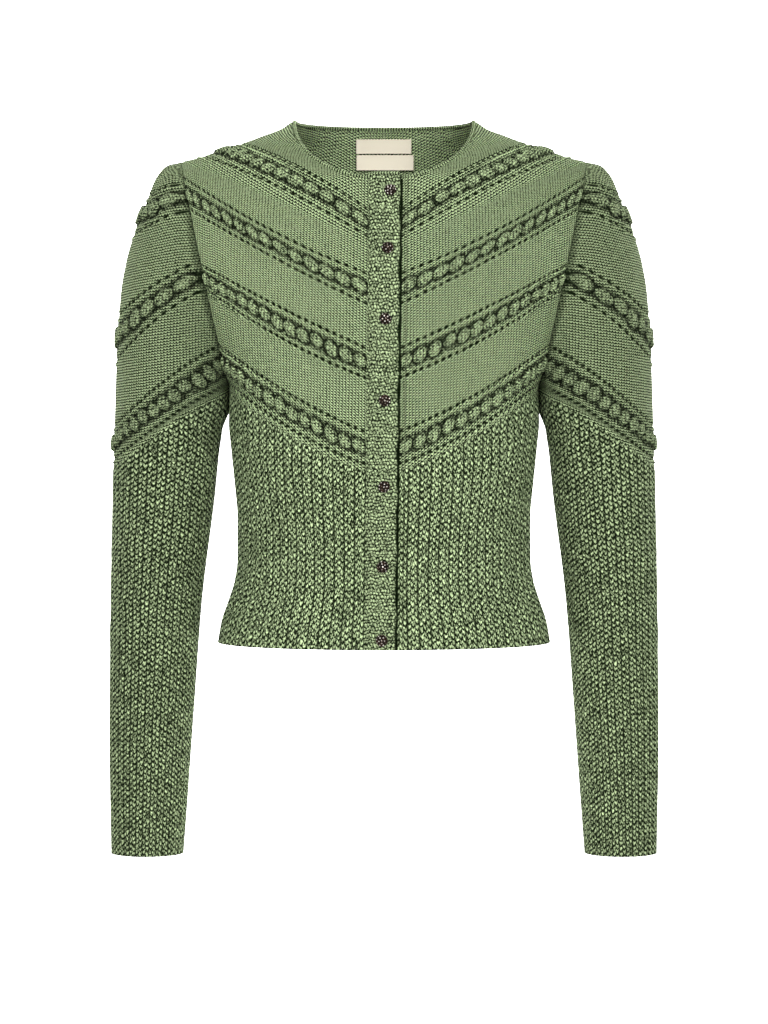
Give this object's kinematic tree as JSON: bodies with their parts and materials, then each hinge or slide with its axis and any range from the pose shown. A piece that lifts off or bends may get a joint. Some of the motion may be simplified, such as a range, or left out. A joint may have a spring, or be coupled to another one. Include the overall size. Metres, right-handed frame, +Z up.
{
  "type": "trachten cardigan",
  "caption": "Cropped hand-knit cardigan, hollow as worn: round neck, puffed sleeves, slanting bobble bands over the yoke, ribbed body and sleeves, domed metal buttons.",
  "frame": {"origin": "midway between the two points where the shoulders meet the neck edge, where the wearer holds it up", "axes": "+Z up, -Y the way the front faces, +X towards the wearer's left"},
  "size_m": [0.5086, 0.2252, 0.6791],
  "materials": {
    "yarn": "matte sage green knitted yarn",
    "woven_label": "cream woven tape",
    "button_metal": "dark antique silver"
  },
  "bodies": {
    "root": {"front_right": "yarn", "front_left": "yarn", "back": "yarn", "sleeve_right": "yarn", "sleeve_left": "yarn", "buttonhole_band": "yarn", "button_band": "yarn", "neck_binding": "yarn", "label_upper": "woven_label", "label_lower": "woven_label", "button_1": "button_metal", "button_2": "button_metal", "button_3": "button_metal", "button_4": "button_metal", "button_5": "button_metal", "button_6": "button_metal", "button_7": "button_metal"}
  },
  "joints": []
}
